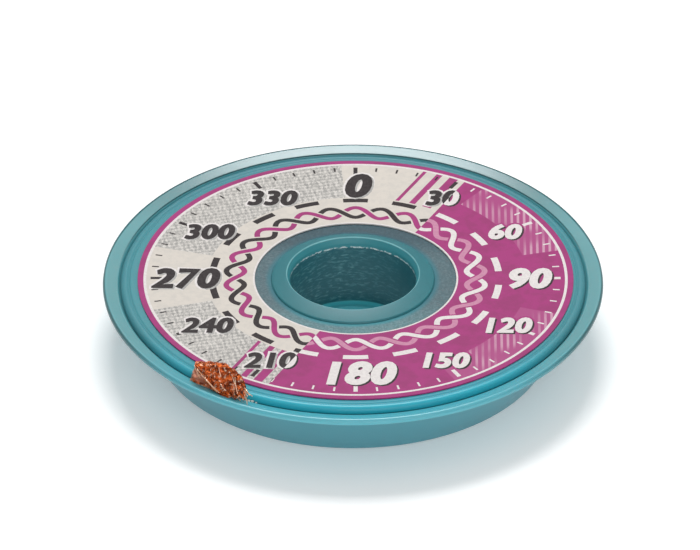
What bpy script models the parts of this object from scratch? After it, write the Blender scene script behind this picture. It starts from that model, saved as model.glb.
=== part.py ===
"""A desoldering braid on its plastic bobbin: a dished case with a hub tube, a flat lid held under the
hub's collar, a paper label, and 1.5 m of 2 mm copper braid whose end comes up through the lid's feed notch
and is folded back over the rim. Metres, +Z up, the bobbin standing on its base, origin at the base's centre.
The camera side of the bobbin is -Y."""

import math

import bmesh
import bpy
from mathutils import Vector

MM = 0.001

# Clearances
SEAT_GAP = 0.20 * MM
GLUE_GAP = 0.03 * MM

# The lid, whose edge the case's rim and wall, the label and the feed notch are measured from
LID_RADIUS = 21.82 * MM
LID_THICKNESS = 0.70 * MM
LID_SEAM_DROP = 0.70 * MM
LID_LIP = 0.55 * MM
LID_LIP_TAPER = 0.25 * MM
BEAD_RADIUS = 0.42 * MM
GROOVE_INSET = 0.77 * MM
GROOVE_WIDTH = 0.30 * MM
GROOVE_DEPTH = 0.16 * MM
EDGE_BREAK = 0.12 * MM

# The case: a dish with a flat rim round its mouth and a hub tube in its middle
BORE_RADIUS = 5.95 * MM
BORE_LIP_WIDTH = 0.95 * MM
BORE_LIP_THICKNESS = 0.40 * MM
HUB_WALL = 1.45 * MM
NECK_STEP = 0.45 * MM
COLLAR_OVERLAP = 0.75 * MM
COLLAR_RISE = 0.73 * MM
COLLAR_EDGE = 0.22 * MM
CROWN_WIDTH = 0.45 * MM
CROWN_FALL = 0.06 * MM
CROWN_EDGE_INSET = 0.40 * MM
CROWN_EDGE_RISE = 0.08 * MM
MOUTH_FLARE = 0.40 * MM
BASE_CORNER = 0.60 * MM
BASE_CORNER_BULGE = 0.10 * MM
BASE_THICKNESS = 0.90 * MM
WALL_THICKNESS = 0.90 * MM
WALL_INSET = 0.27 * MM
WALL_SLANT = 3.00 * MM
CAVITY_HEIGHT = 5.13 * MM
RIM_WIDTH = 1.68 * MM
RIM_THICKNESS = 0.68 * MM
RIM_DISH = 0.46 * MM
RIM_ROOT_REACH = 0.40 * MM
RIM_ROOT_INSET = 0.05 * MM
RIM_ROOT_DROP = 0.30 * MM
RIM_INNER_CHAMFER = 0.75 * MM
FLOOR_FILLET = 0.45 * MM

# The paper label, stuck on a little off centre
LABEL_HOLE_MARGIN = 1.77 * MM
LABEL_EDGE_MARGIN = 0.59 * MM
LABEL_THICKNESS = 0.12 * MM
LABEL_SHIFT = 0.24 * MM

# The braid: a flat strip, wound side by side in columns and layer on layer
BRAID_WIDTH = 2.20 * MM
BRAID_THICKNESS = 0.50 * MM
BRAID_EDGE_ROUND = 0.16 * MM
LAYER_PITCH = 0.78 * MM
LAYERS = 10
COLUMNS = 2
TURN_GROOVE = 0.16 * MM

# Where the braid comes out, spread flat, and the plane that its folded end leans in
SPREAD_WIDTH = 3.20 * MM
NOTCH_WIDTH = SPREAD_WIDTH + 2 * SEAT_GAP
NOTCH_DEPTH = 1.52 * MM
NOTCH_AZIMUTH = 231.7
FLAG_AZIMUTH = 235.0
FLAG_LEAN = 25.0

TURN_STEPS = 72
COIL_STEPS = 48
ARC_STEPS = 4

# Heights and radii that follow
HUB_RADIUS = BORE_RADIUS + HUB_WALL
NECK_RADIUS = HUB_RADIUS - NECK_STEP
COLLAR_RADIUS = NECK_RADIUS + COLLAR_OVERLAP
COIL_RADIUS = HUB_RADIUS + SEAT_GAP + LAYERS * LAYER_PITCH
RIM_RADIUS = LID_RADIUS + RIM_WIDTH
WALL_TOP_RADIUS = LID_RADIUS - WALL_INSET
BASE_RADIUS = WALL_TOP_RADIUS - WALL_SLANT
GROOVE_RADIUS = LID_RADIUS - GROOVE_INSET
LABEL_OUTER_RADIUS = GROOVE_RADIUS - LABEL_EDGE_MARGIN
LABEL_INNER_RADIUS = COLLAR_RADIUS + LABEL_HOLE_MARGIN
NOTCH_INNER_RADIUS = LID_RADIUS - NOTCH_DEPTH
FLOOR_Z = BASE_THICKNESS
LID_UNDER_Z = FLOOR_Z + CAVITY_HEIGHT
LID_TOP_Z = LID_UNDER_Z + LID_THICKNESS
COLLAR_TOP_Z = LID_TOP_Z + COLLAR_RISE
SEAM_Z = LID_TOP_Z - LID_SEAM_DROP
RIM_SLOPE = RIM_DISH / RIM_WIDTH


def rim_top(radius):
    """Height of the rim's upper face, a shallow cone that rises outwards from the seam."""
    return SEAM_Z + RIM_SLOPE * (radius - LID_RADIUS)


def arc(centre_r, centre_z, radius, start, end, steps=ARC_STEPS):
    """Profile points (r, z) on an arc, angles in degrees from +r towards +z."""
    angles = [math.radians(start + (end - start) * i / steps) for i in range(steps + 1)]
    return [(centre_r + radius * math.cos(a), centre_z + radius * math.sin(a)) for a in angles]


def new_collection(name):
    made = bpy.data.collections.new(name)
    bpy.context.scene.collection.children.link(made)
    return made


def plastic(name, colour, roughness, metallic=0.0):
    made = bpy.data.materials.new(name)
    made.use_nodes = True
    shader = made.node_tree.nodes["Principled BSDF"]
    shader.inputs["Base Color"].default_value = (*colour, 1.0)
    shader.inputs["Roughness"].default_value = roughness
    shader.inputs["Metallic"].default_value = metallic
    return made


def add_object(name, mesh, collection, material=None):
    made = bpy.data.objects.new(name, mesh)
    collection.objects.link(made)
    if material is not None:
        mesh.materials.append(material)
    return made


def turned(name, profile, collection, material, steps=TURN_STEPS):
    """A solid of revolution about Z from a closed profile of (r, z) points that runs down its outer side."""
    mesh = bpy.data.meshes.new(name)
    count = len(profile)
    edges = [(i, (i + 1) % count) for i in range(count)]
    mesh.from_pydata([(r, 0.0, z) for r, z in profile], edges, [])
    made = add_object(name, mesh, collection, material)
    screw = made.modifiers.new("turn", "SCREW")
    screw.steps = screw.render_steps = steps
    screw.use_merge_vertices = True
    screw.merge_threshold = 1e-6
    screw.use_smooth_shade = True
    return made


def as_mesh_object(source, collection):
    """The evaluated shape of an object as a plain mesh object of the same name, in its place."""
    bpy.context.view_layer.update()
    evaluated = source.evaluated_get(bpy.context.evaluated_depsgraph_get())
    mesh = bpy.data.meshes.new_from_object(evaluated)
    name, place = source.name, source.matrix_world.copy()
    bpy.data.objects.remove(source)
    made = bpy.data.objects.new(name, mesh)
    made.matrix_world = place
    collection.objects.link(made)
    return made


def smooth_by_angle(mesh, degrees=35.0):
    mesh.shade_smooth()
    mesh.set_sharp_from_angle(angle=math.radians(degrees))


# Case

def hub_profile():
    """From the collar's top edge outwards and down the outside of the hub tube to the floor."""
    lip_z = LID_TOP_Z + SEAT_GAP
    shoulder_z = LID_UNDER_Z - SEAT_GAP
    dome = [
        (BORE_RADIUS + MOUTH_FLARE, COLLAR_TOP_Z),
        (BORE_RADIUS + MOUTH_FLARE + CROWN_WIDTH, COLLAR_TOP_Z - CROWN_FALL),
        (COLLAR_RADIUS - CROWN_EDGE_INSET, lip_z + COLLAR_EDGE + CROWN_EDGE_RISE),
    ]
    edge = arc(COLLAR_RADIUS - COLLAR_EDGE / 2, lip_z + COLLAR_EDGE / 2, COLLAR_EDGE / 2, 60, -90)
    return (
        dome
        + edge
        + [
            (NECK_RADIUS, lip_z),
            (NECK_RADIUS, shoulder_z),
            (HUB_RADIUS, shoulder_z),
        ]
        + arc(HUB_RADIUS + FLOOR_FILLET, FLOOR_Z + FLOOR_FILLET, FLOOR_FILLET, 180, 270)
    )


def inner_wall_profile():
    """From the floor up the inside of the sloping wall to the rim's inner edge."""
    slope = WALL_SLANT / SEAM_Z
    foot_r = BASE_RADIUS - WALL_THICKNESS + slope * FLOOR_Z
    top_z = rim_top(LID_RADIUS - LID_LIP) - RIM_INNER_CHAMFER
    top_r = BASE_RADIUS - WALL_THICKNESS + slope * top_z
    return [
        (foot_r - FLOOR_FILLET, FLOOR_Z),
        (foot_r, FLOOR_Z + FLOOR_FILLET / 3),
        (foot_r + slope * FLOOR_FILLET, FLOOR_Z + FLOOR_FILLET),
        (top_r, top_z),
    ]


def rim_profile():
    """Across the rim's upper face, round its edge, and back along its underside to the wall."""
    round_radius = RIM_THICKNESS / 2
    edge_r = RIM_RADIUS - round_radius
    edge_z = rim_top(edge_r) - round_radius
    root_r = WALL_TOP_RADIUS + RIM_ROOT_REACH
    root_z = rim_top(root_r) - RIM_THICKNESS
    return (
        [(LID_RADIUS - LID_LIP, rim_top(LID_RADIUS - LID_LIP))]
        + arc(edge_r, edge_z, round_radius, 90, -90, 2 * ARC_STEPS)
        + [
            (root_r, root_z),
            (WALL_TOP_RADIUS - RIM_ROOT_INSET, root_z - RIM_ROOT_DROP),
        ]
    )


def base_profile():
    """Round the base's corner, across its underside, round the bore's lip and up to the flared mouth."""
    lean = math.degrees(math.atan2(WALL_SLANT, SEAM_Z))
    corner_r = BASE_RADIUS - BASE_CORNER + BASE_CORNER_BULGE
    corner = arc(corner_r, BASE_CORNER, BASE_CORNER, -lean, -90)
    mouth_z = COLLAR_TOP_Z - MOUTH_FLARE
    return (
        corner
        + [
            (BORE_RADIUS - BORE_LIP_WIDTH, 0.0),
            (BORE_RADIUS - BORE_LIP_WIDTH, BORE_LIP_THICKNESS),
            (BORE_RADIUS, BORE_LIP_THICKNESS),
        ]
        + arc(BORE_RADIUS + MOUTH_FLARE, mouth_z, MOUTH_FLARE, 180, 90)[:-1]
    )


def make_case(collection, material):
    profile = hub_profile() + inner_wall_profile() + rim_profile() + base_profile()
    return turned("bobbin_case", profile, collection, material)


# Lid

def lid_profile():
    hole = NECK_RADIUS + SEAT_GAP
    foot_z = rim_top(LID_RADIUS) + SEAT_GAP
    lip_r = LID_RADIUS - LID_LIP - SEAT_GAP
    bead = arc(LID_RADIUS - BEAD_RADIUS, LID_TOP_Z - BEAD_RADIUS, BEAD_RADIUS, 90, 0)
    bead[-1] = (LID_RADIUS, max(foot_z, LID_TOP_Z - BEAD_RADIUS))
    return (
        [
            (hole + EDGE_BREAK, LID_TOP_Z),
            (GROOVE_RADIUS - GROOVE_WIDTH / 2, LID_TOP_Z),
            (GROOVE_RADIUS, LID_TOP_Z - GROOVE_DEPTH),
        ]
        + bead
        + [
            (LID_RADIUS - EDGE_BREAK, foot_z - EDGE_BREAK / 3),
            (lip_r, rim_top(lip_r) + SEAT_GAP),
            (lip_r - LID_LIP_TAPER, LID_UNDER_Z),
            (hole + EDGE_BREAK, LID_UNDER_Z),
            (hole, LID_UNDER_Z + EDGE_BREAK),
            (hole, LID_TOP_Z - EDGE_BREAK),
        ]
    )


def make_lid(collection, cutters, material):
    """The lid, with the notch in its edge that the braid comes up through."""
    lid = as_mesh_object(turned("lid", lid_profile(), collection, material), collection)
    reach = RIM_RADIUS - NOTCH_INNER_RADIUS
    mesh = bpy.data.meshes.new("feed_notch")
    shape = bmesh.new()
    bmesh.ops.create_cube(shape, size=1.0)
    for vertex in shape.verts:
        vertex.co.x = NOTCH_INNER_RADIUS + (vertex.co.x + 0.5) * reach
        vertex.co.y *= NOTCH_WIDTH
        vertex.co.z = LID_TOP_Z + vertex.co.z * 4 * LID_THICKNESS
    shape.to_mesh(mesh)
    shape.free()
    cutter = add_object("feed_notch", mesh, cutters)
    cutter.rotation_euler.z = math.radians(NOTCH_AZIMUTH)
    cutter.hide_render = True
    cutter.display_type = "WIRE"
    cut = lid.modifiers.new("feed_notch", "BOOLEAN")
    cut.object = cutter
    cut.operation = "DIFFERENCE"
    smooth_by_angle(lid.data)
    return lid


# Label

def make_label(collection, material):
    low = LID_TOP_Z + GLUE_GAP
    high = low + LABEL_THICKNESS
    profile = [
        (LABEL_INNER_RADIUS, high),
        (LABEL_OUTER_RADIUS, high),
        (LABEL_OUTER_RADIUS, low),
        (LABEL_INNER_RADIUS, low),
    ]
    label = turned("label", profile, collection, material)
    label.location.x = LABEL_SHIFT
    return label


# Braid

def coil_profile():
    """The wound braid's section: one scallop for each layer on both ends, one bulge for each column
    outside."""
    inner = COIL_RADIUS - LAYERS * LAYER_PITCH
    low = FLOOR_Z + SEAT_GAP
    high = LID_UNDER_Z - SEAT_GAP
    column = (high - low) / COLUMNS
    top, bottom = [], []
    for layer in range(LAYERS):
        start = inner + layer * LAYER_PITCH
        top += [(start, high - TURN_GROOVE), (start + LAYER_PITCH / 2, high)]
        bottom += [(start, low + TURN_GROOVE), (start + LAYER_PITCH / 2, low)]
    side = []
    for i in range(COLUMNS):
        side += [(COIL_RADIUS - TURN_GROOVE, high - i * column), (COIL_RADIUS, high - (i + 0.5) * column)]
    side[0] = (COIL_RADIUS, high - TURN_GROOVE)
    side.append((COIL_RADIUS, low + TURN_GROOVE))
    return top + side + bottom[::-1]


def inside_point(azimuth, share, drop):
    """A point inside the bobbin: a share of the way out from the coil's outer layer to the lid's edge, and
    a drop in millimetres below the lid's underside."""
    angle = math.radians(azimuth)
    start = COIL_RADIUS - BRAID_THICKNESS
    radius = start + share * (LID_RADIUS - start)
    return Vector((radius * math.cos(angle), radius * math.sin(angle), LID_UNDER_Z - drop * MM))


def flag_point(along, up, out):
    """A point in the plane that the folded end leans in, in millimetres: along the seam, up the plane and
    out of it."""
    angle, lean = math.radians(FLAG_AZIMUTH), math.radians(FLAG_LEAN)
    radial = Vector((math.cos(angle), math.sin(angle), 0.0))
    tangent = Vector((-math.sin(angle), math.cos(angle), 0.0))
    rise = Vector((0.0, 0.0, 1.0))
    foot = radial * (LID_RADIUS + SEAT_GAP) + rise * (rim_top(LID_RADIUS) + BRAID_THICKNESS / 2)
    slope = rise * math.cos(lean) - radial * math.sin(lean)
    normal = radial * math.cos(lean) + rise * math.sin(lean)
    return foot + (tangent * along + slope * up + normal * out) * MM


def tail_stations():
    """Both edges of the flat braid's end, from the coil's outer layer to its cut end."""
    inside = [
        (inside_point(204.0, 0.00, 0.68), inside_point(204.0, 0.00, 2.68)),
        (inside_point(211.0, 0.13, 0.63), inside_point(212.0, 0.13, 2.63)),
        (inside_point(218.0, 0.33, 0.63), inside_point(220.5, 0.32, 2.28)),
        (inside_point(223.5, 0.56, 0.68), inside_point(228.5, 0.52, 1.63)),
        (inside_point(226.9, 0.75, 0.48), inside_point(233.9, 0.73, 0.68)),
        (inside_point(227.6, 0.88, -0.17), inside_point(235.8, 0.87, -0.17)),
    ]
    outside = [
        (flag_point(-2.85, 0.08, 0.00), flag_point(0.25, 0.08, 0.00)),
        (flag_point(-2.85, 0.80, 0.00), flag_point(0.35, 1.20, 0.00)),
        (flag_point(-2.82, 1.42, 0.02), flag_point(0.50, 2.25, 0.02)),
        (flag_point(-2.80, 1.66, 0.30), flag_point(0.62, 2.58, 0.30)),
        (flag_point(-2.55, 1.50, 0.56), flag_point(0.95, 2.48, 0.56)),
        (flag_point(-1.75, 1.12, 0.60), flag_point(1.65, 2.28, 0.58)),
        (flag_point(-0.90, 0.65, 0.60), flag_point(2.35, 1.90, 0.52)),
        (flag_point(-0.10, 0.20, 0.52), flag_point(2.88, 1.35, 0.44)),
        (flag_point(0.55, -0.10, 0.40), flag_point(3.20, 0.70, 0.34)),
        (flag_point(1.10, -0.12, 0.34), flag_point(3.30, 0.20, 0.28)),
    ]
    return inside + outside


def through(points, steps):
    """A smooth curve through the points, with this many steps between each two."""
    ends = [points[0] * 2 - points[1]] + points + [points[-1] * 2 - points[-2]]
    curve = []
    for a, b, c, d in zip(ends, ends[1:], ends[2:], ends[3:]):
        for i in range(steps):
            t = i / steps
            bend = (2 * a - 5 * b + 4 * c - d) * t**2 + (3 * b - a - 3 * c + d) * t**3
            curve.append((2 * b + (c - a) * t + bend) / 2)
    return curve + [points[-1]]


def make_tail(collection, material):
    """The braid's loose end: a flat surface between its two edges, given its thickness."""
    stations = tail_stations()
    left = through([a for a, _ in stations], 3)
    right = through([b for _, b in stations], 3)
    across = 3
    shape = bmesh.new()
    bmesh.ops.create_grid(shape, x_segments=len(left) - 1, y_segments=across, size=0.5)
    for vertex in shape.verts:
        station = round((vertex.co.x + 0.5) * (len(left) - 1))
        vertex.co = left[station].lerp(right[station], vertex.co.y + 0.5)
    mesh = bpy.data.meshes.new("tail")
    shape.to_mesh(mesh)
    shape.free()
    tail = add_object("tail", mesh, collection, material)
    solid = tail.modifiers.new("thickness", "SOLIDIFY")
    solid.thickness = BRAID_THICKNESS
    solid.offset = 0.0
    solid.use_even_offset = False
    edge = tail.modifiers.new("edge", "BEVEL")
    edge.width = BRAID_EDGE_ROUND
    edge.segments = 1
    edge.limit_method = "ANGLE"
    edge.angle_limit = math.radians(60)
    return tail


def make_braid(collection, cutters, material):
    """The whole braid in one piece: the wound coil and the end that leaves its outer layer."""
    coil = as_mesh_object(turned("braid", coil_profile(), collection, material, COIL_STEPS), collection)
    tail = as_mesh_object(make_tail(cutters, material), cutters)
    tail.hide_render = True
    tail.display_type = "WIRE"
    join = coil.modifiers.new("tail", "BOOLEAN")
    join.object = tail
    join.operation = "UNION"
    smooth_by_angle(coil.data)
    return coil


def main():
    for old in list(bpy.data.objects):
        bpy.data.objects.remove(old)
    parts = new_collection("desoldering_braid")
    cutters = new_collection("cutters")
    teal = plastic("teal_plastic", (0.10, 0.42, 0.47), 0.35)
    paper = plastic("label_paper", (0.70, 0.30, 0.52), 0.55)
    copper = plastic("copper_braid", (0.72, 0.27, 0.11), 0.35, metallic=1.0)
    make_case(parts, teal)
    make_lid(parts, cutters, teal)
    make_label(parts, paper)
    make_braid(parts, cutters, copper)


main()
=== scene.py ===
"""Looks of the desoldering braid: a translucent teal bobbin with a printed ring label, and the copper
braid's woven end folded back over its rim. Metres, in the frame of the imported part."""

import math
import random

import bmesh
import bpy
import numpy as np
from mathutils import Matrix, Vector, geometry, noise


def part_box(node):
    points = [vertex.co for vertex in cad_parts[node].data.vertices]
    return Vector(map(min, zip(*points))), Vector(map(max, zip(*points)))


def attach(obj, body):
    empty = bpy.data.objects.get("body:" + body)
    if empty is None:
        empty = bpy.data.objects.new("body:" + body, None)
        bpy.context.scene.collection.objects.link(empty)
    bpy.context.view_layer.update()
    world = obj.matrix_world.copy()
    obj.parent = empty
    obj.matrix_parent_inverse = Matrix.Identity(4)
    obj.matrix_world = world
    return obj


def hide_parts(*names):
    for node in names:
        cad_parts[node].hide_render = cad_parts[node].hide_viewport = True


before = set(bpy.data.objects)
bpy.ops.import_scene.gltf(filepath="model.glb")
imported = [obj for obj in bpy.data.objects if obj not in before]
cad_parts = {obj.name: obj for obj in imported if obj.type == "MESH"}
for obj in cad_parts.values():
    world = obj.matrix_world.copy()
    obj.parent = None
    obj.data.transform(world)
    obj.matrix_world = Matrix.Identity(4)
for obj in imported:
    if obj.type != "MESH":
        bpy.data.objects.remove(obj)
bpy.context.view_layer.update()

MM = 0.001

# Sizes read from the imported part
_, CASE_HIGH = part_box("bobbin_case")
LID_LOW, LID_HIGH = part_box("lid")
LABEL_LOW, LABEL_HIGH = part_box("label")
RIM_RADIUS = CASE_HIGH.x
COLLAR_TOP = CASE_HIGH.z
LID_RADIUS = LID_HIGH.x
LID_UNDER = LID_LOW.z
LID_TOP = LID_HIGH.z
LABEL_X = (LABEL_LOW.x + LABEL_HIGH.x) / 2
LABEL_RADIUS = (LABEL_HIGH.x - LABEL_LOW.x) / 2
LABEL_TOP = LABEL_HIGH.z
LABEL_THICKNESS = LABEL_HIGH.z - LABEL_LOW.z

# Sizes that the part's source also names
SEAT_GAP = 0.2 * MM
BORE_RADIUS = 5.95 * MM
BORE_LIP_WIDTH = 0.95 * MM
BORE_LIP_THICKNESS = 0.4 * MM
HUB_RADIUS = 7.4 * MM
NECK_RADIUS = 6.95 * MM
COLLAR_RADIUS = 7.7 * MM
FLOOR_Z = 0.9 * MM
WALL_THICKNESS = 0.9 * MM
WALL_TOP_RADIUS = LID_RADIUS - 0.27 * MM
BASE_RADIUS = WALL_TOP_RADIUS - 3.00 * MM
SEAM_Z = LID_TOP - 0.7 * MM
RIM_DISH = 0.46 * MM
RIM_THICKNESS = 0.68 * MM
LID_LIP = 0.55 * MM
GROOVE_RADIUS = LID_RADIUS - 0.77 * MM
LABEL_HOLE_RADIUS = 9.47 * MM
BRAID_THICKNESS = 0.5 * MM
COIL_RADIUS = 15.4 * MM
LAYER_PITCH = 0.78 * MM
LAYERS = 10
NOTCH_AZIMUTH = 231.7
NOTCH_WIDTH = 3.6 * MM
NOTCH_DEPTH = 1.52 * MM
FLAG_AZIMUTH = 235.0
FLAG_LEAN = 25.0
TURN_GROOVE = 0.16 * MM

# Sizes that only the scene has: the gap that shows at the seams, the rounded mouth of the bore, how far the
# rim outside the lid is raised, and how high the braid shows through the bore's wall
SHOWN_GAP = 0.035 * MM
MOUTH_RADIUS = BORE_RADIUS + 0.27 * MM
RIM_LIFT = 0.52 * MM
RIM_LIFT_AT_SIDES = 0.58
RIM_LIFT_WIDTH = 0.32 * MM
BAND_TOP = 6.3 * MM

# Camera: the photograph's angle above the horizon, and its scale in the label's plane
CAMERA_ELEVATION = math.radians(33.1)
CAMERA_DISTANCE = 1.1
SENSOR_WIDTH = 36.0
IMAGE_WIDTH = 700
PIXELS_PER_MM = 10.65
LABEL_CENTRE_PIXEL = (353.0, 278.0)
IMAGE_CENTRE_PIXEL = (350.0, 275.0)

TURN_STEPS = 240
SEED = 7
noise.seed_set(SEED)


# Mesh helpers

def add_mesh(name, points, faces, materials, smooth=False):
    mesh = bpy.data.meshes.new(name)
    mesh.from_pydata([tuple(p) for p in points], [], faces)
    mesh.validate()
    if smooth:
        mesh.shade_smooth()
    for material in materials:
        mesh.materials.append(material)
    return add_object(name, mesh)


def add_object(name, data):
    made = bpy.data.objects.new(name, data)
    bpy.context.scene.collection.objects.link(made)
    return made


def around(degrees, radius=1.0, z=0.0):
    """The point at an angle round the axis, a distance from it and a height."""
    angle = math.radians(degrees)
    return Vector((radius * math.cos(angle), radius * math.sin(angle), z))


def filleted(corners, steps=5):
    """The (r, z) points of a closed outline whose corners (r, z, fillet radius) are rounded."""
    outline = []
    for i, (r, z, radius) in enumerate(corners):
        here = Vector((r, z))
        if radius == 0:
            outline.append(here)
            continue
        to_last = (Vector(corners[i - 1][:2]) - here).normalized()
        to_next = (Vector(corners[(i + 1) % len(corners)][:2]) - here).normalized()
        half = to_last.angle(to_next) / 2
        centre = here + (to_last + to_next).normalized() * radius / math.sin(half)
        start = here + to_last * radius / math.tan(half) - centre
        end = here + to_next * radius / math.tan(half) - centre
        first = math.atan2(start.y, start.x)
        sweep = math.remainder(math.atan2(end.y, end.x) - first, math.tau)
        for step in range(steps + 1):
            angle = first + sweep * step / steps
            outline.append(centre + radius * Vector((math.cos(angle), math.sin(angle))))
    return outline


def turned(name, outline, material, steps=TURN_STEPS):
    """A solid of revolution about Z from a closed outline of (r, z) points."""
    count = len(outline)
    area = sum(a.cross(b) for a, b in zip(outline, outline[1:] + outline[:1]))
    if area > 0:
        outline = outline[::-1]
    points = []
    for step in range(steps):
        angle = math.tau * step / steps
        points += [(p.x * math.cos(angle), p.x * math.sin(angle), p.y) for p in outline]
    faces = []
    for step in range(steps):
        here, there = step * count, (step + 1) % steps * count
        for i in range(count):
            j = (i + 1) % count
            faces.append((here + i, here + j, there + j, there + i))
    made = add_mesh(name, points, faces, [material])
    finish_surface(made)
    return made


def finish_surface(piece):
    piece.data.shade_smooth()
    piece.data.set_sharp_from_angle(angle=math.radians(40))
    normals = piece.modifiers.new("normals", "WEIGHTED_NORMAL")
    normals.keep_sharp = True


def final_mesh(piece):
    """A copy of the piece's mesh as its modifiers leave it."""
    bpy.context.view_layer.update()
    return bpy.data.meshes.new_from_object(piece.evaluated_get(bpy.context.evaluated_depsgraph_get()))


def applied(piece):
    """The piece with its modifiers applied."""
    mesh = final_mesh(piece)
    piece.modifiers.clear()
    piece.data = mesh
    return piece


# Shader helpers; each finds its node tree through the sockets that it is given

def is_socket(value):
    return isinstance(value, bpy.types.NodeSocket)


def new_material(name):
    """A material, the shaded point's place in the part's frame, and the material's shader."""
    material = bpy.data.materials.new(name)
    material.use_nodes = True
    nodes = material.node_tree.nodes
    return material, nodes.new("ShaderNodeTexCoord").outputs["Object"], nodes["Principled BSDF"]


def set_inputs(target, inputs):
    """Gives a node's numbered or named inputs a value or a link each."""
    for key, value in inputs.items():
        if is_socket(value):
            target.id_data.links.new(value, target.inputs[key])
        else:
            target.inputs[key].default_value = value


def add_node(kind, inputs, **settings):
    tree = next(value.id_data for value in inputs.values() if is_socket(value))
    made = tree.nodes.new("ShaderNode" + kind)
    for name, value in settings.items():
        setattr(made, name, value)
    set_inputs(made, inputs)
    return made


def node(kind, inputs, output=0, **settings):
    """Adds a node with these inputs and settings, and returns one of its outputs."""
    return add_node(kind, inputs, **settings).outputs[output]


def calc(operation, a, b=0.0, c=0.0):
    return node("Math", {0: a, 1: b, 2: c}, operation=operation)


def times(*values):
    """The product of the values."""
    product = values[0]
    for value in values[1:]:
        product = calc("MULTIPLY", product, value)
    return product


def mix(share, a, b, blend="MIX"):
    """The first colour where the share is 0, and the second where it is 1."""
    a, b = [colour if is_socket(colour) else (*colour, 1.0) for colour in (a, b)]
    return node("Mix", {0: share, 6: a, 7: b}, 2, data_type="RGBA", blend_type=blend)


def between(value, low, high):
    """0 below low, 1 above high, and smooth between them."""
    inputs = {"Value": value, "From Min": low, "From Max": high}
    return node("MapRange", inputs, interpolation_type="SMOOTHSTEP")


def past(value, edge, low, high):
    """0 at low millimetres past an edge, 1 at high, and smooth between them."""
    return between(value, edge + low * MM, edge + high * MM)


def parts(vector):
    """The x, y and z of a vector."""
    return add_node("SeparateXYZ", {0: vector}).outputs


def stretched(vector, scale, turn=0.0):
    return node("Mapping", {"Vector": vector, "Scale": scale, "Rotation": (0, 0, turn)})


def cloud(vector, size, detail=3.0, roughness=0.55, distortion=0.0):
    """Noise whose features are about the given size, in metres."""
    inputs = {"Vector": vector, "Scale": 1 / size, "Detail": detail, "Roughness": roughness}
    return node("TexNoise", {**inputs, "Distortion": distortion})


def bumped(shader, height, depth, strength):
    bump = node("Bump", {"Height": height, "Distance": depth, "Strength": strength})
    set_inputs(shader, {"Normal": bump})


def round_the_axis(where):
    """(distance from the axis, angle round it, height) of the shaded point."""
    x, y, z = parts(where)
    squares = calc("ADD", times(x, x), times(y, y))
    return calc("SQRT", squares), calc("ARCTAN2", y, x), z


# Plastic

# Its body, clouds and scuffs
TEAL = (0.045, 0.33, 0.405)
TEAL_DEEP = (0.038, 0.27, 0.335)
TEAL_PALE = (0.16, 0.47, 0.52)

# The case's wall, hub and the hub's mouth, a painted highlight on the mouth's edge, and the lip at the bore's
# bottom in painted light with painted shadow towards its inner edge
TEAL_WALL = (0.066, 0.285, 0.345)
TEAL_HUB = (0.026, 0.185, 0.215)
TEAL_MOUTH = (0.05, 0.3, 0.345)
TEAL_PAINTED_HIGHLIGHT = (0.3, 0.62, 0.64)
TEAL_LIP_PAINTED_LIGHT = (0.08, 0.6, 0.66)
TEAL_LIP_PAINTED_SHADOW = (0.07, 0.45, 0.51)

# The braid seen through the bore's wall, a painted glint along the top of its band, and the frosted ring of
# the lid round the hub
TEAL_IN_BORE = (0.022, 0.15, 0.185)
WEAVE_IN_BORE = (0.13, 0.36, 0.39)
BAND_PAINTED_GLINT = (0.75, 0.85, 0.85)
TEAL_FROSTED = (0.075, 0.135, 0.145)
FROST = (0.14, 0.215, 0.225)

# Radii at which the plastic begins to take the look of what lies inwards, and has it wholly
HUB_DULL = (10 * MM, 8.5 * MM)
HUB_EDGE = (9 * MM, 8 * MM)
HUB_EDGE_ON_LID = (COLLAR_RADIUS + 0.7 * MM, COLLAR_RADIUS)
FROST_EDGE = (10.4 * MM, 10.2 * MM)
SHINE = 0.5

# Painted light and shade by side: the plastic deeper teal on the near side, paler at both sides as a painted
# sheen and darker on the far side as painted shade: near, side, far
RIM_LIT_AND_SHADED = ((0.083, 0.4, 0.478), (0.156, 0.365, 0.387), (0.07, 0.19, 0.204))
LID_LIT_AND_SHADED = ((0.04, 0.33, 0.415), (0.062, 0.27, 0.31), (0.055, 0.24, 0.285))
BEAD_LIT_AND_SHADED = ((0.018, 0.395, 0.5), (0.062, 0.25, 0.29), (0.06, 0.22, 0.26))
# Painted light on the rim's ramp, which its slope leaves in shade: near, side, far
RAMP_PAINTED_LIGHT = ((0.06, 0.36, 0.44), (0.09, 0.34, 0.38), (0.12, 0.42, 0.47))
# Painted shade lines at the rim's outer edge and the ramp's top, dark at the sides and far side: near, side,
# far
PAINTED_SHADE_LINES = ((0.11, 0.43, 0.5), (0.022, 0.095, 0.105), (0.016, 0.06, 0.068))
# Painted light and shade on the frosted ring, as factors: lighter on the near side, darker on the far side
FROST_LIGHT_AND_SHADE = ((1.15, 1.36, 1.4), (0.82, 0.86, 0.93), (0.38, 0.52, 0.62))


def near_to_far(where, colours, reach):
    """One of three colours by how far towards or away from the near side a point is: painted light and shade
    by side.
    """
    _, y, _ = parts(where)
    near, side, far = colours
    colour = mix(between(y, -0.35 * reach, -0.9 * reach), side, near)
    return mix(between(y, 0.35 * reach, 0.8 * reach), colour, far)


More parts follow.
